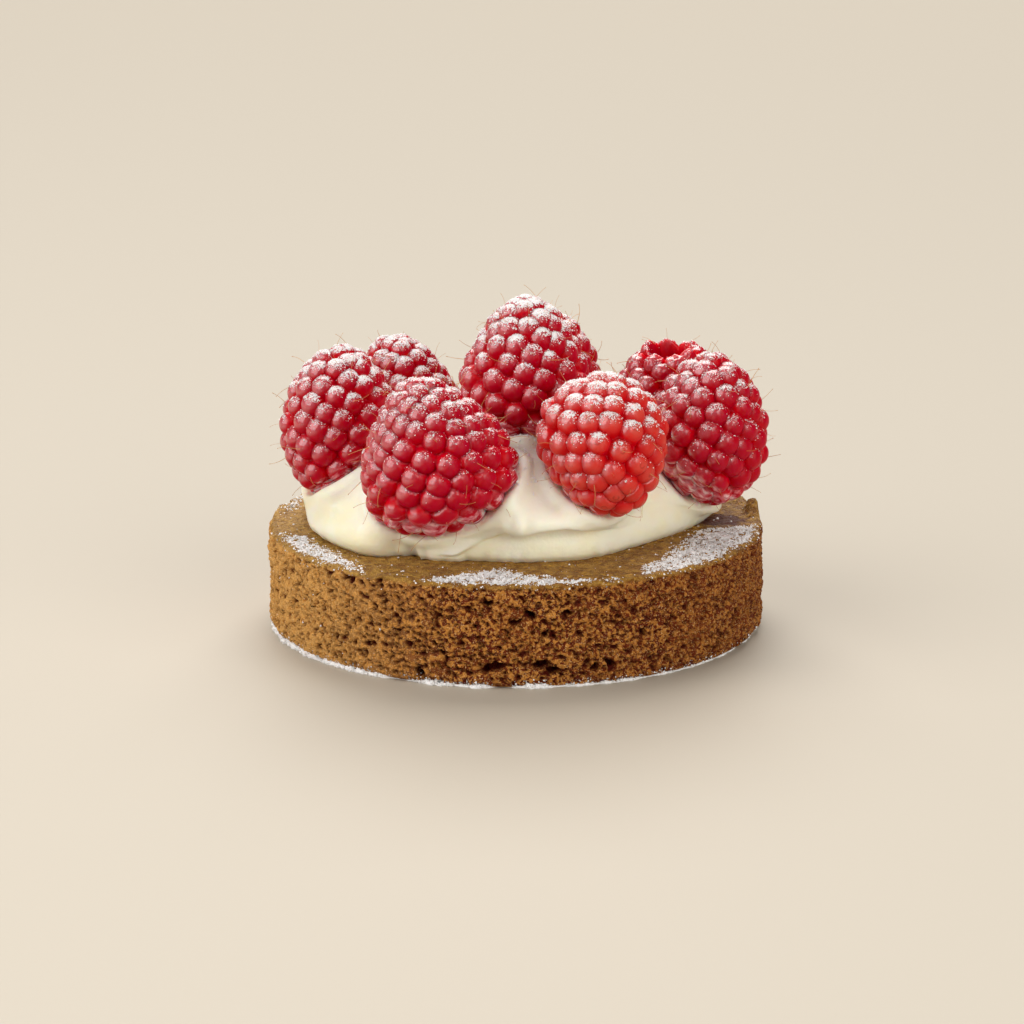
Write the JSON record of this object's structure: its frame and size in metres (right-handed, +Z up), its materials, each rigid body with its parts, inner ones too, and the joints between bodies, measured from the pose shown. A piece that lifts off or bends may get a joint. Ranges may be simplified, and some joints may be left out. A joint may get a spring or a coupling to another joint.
{
  "type": "raspberry tartlet",
  "caption": "Single-portion tartlet: a ring-cut round of brown sponge with a mound of vanilla cream, a ring of raspberries and icing sugar, served as a dessert.",
  "frame": {"origin": "middle of the sponge's flat underside, where it stands", "axes": "+Z up, -Y towards the front of the tartlet as served, +X to the right seen from the front"},
  "size_m": [0.0809, 0.0802, 0.0544],
  "materials": {
    "ginger_sponge": "matt, open crumb",
    "vanilla_cream": "soft satin",
    "raspberry": "moist satin, dusted with icing sugar",
    "pale_raspberry": "moist satin, dusted with icing sugar"
  },
  "bodies": {
    "root": {"sponge": "ginger_sponge", "cream": "vanilla_cream", "raspberry_front_left": "raspberry", "raspberry_front_right": "pale_raspberry", "raspberry_left": "raspberry", "raspberry_right": "raspberry", "raspberry_middle": "raspberry", "raspberry_back": "raspberry", "raspberry_back_left": "raspberry", "raspberry_back_right": "raspberry"}
  },
  "joints": []
}
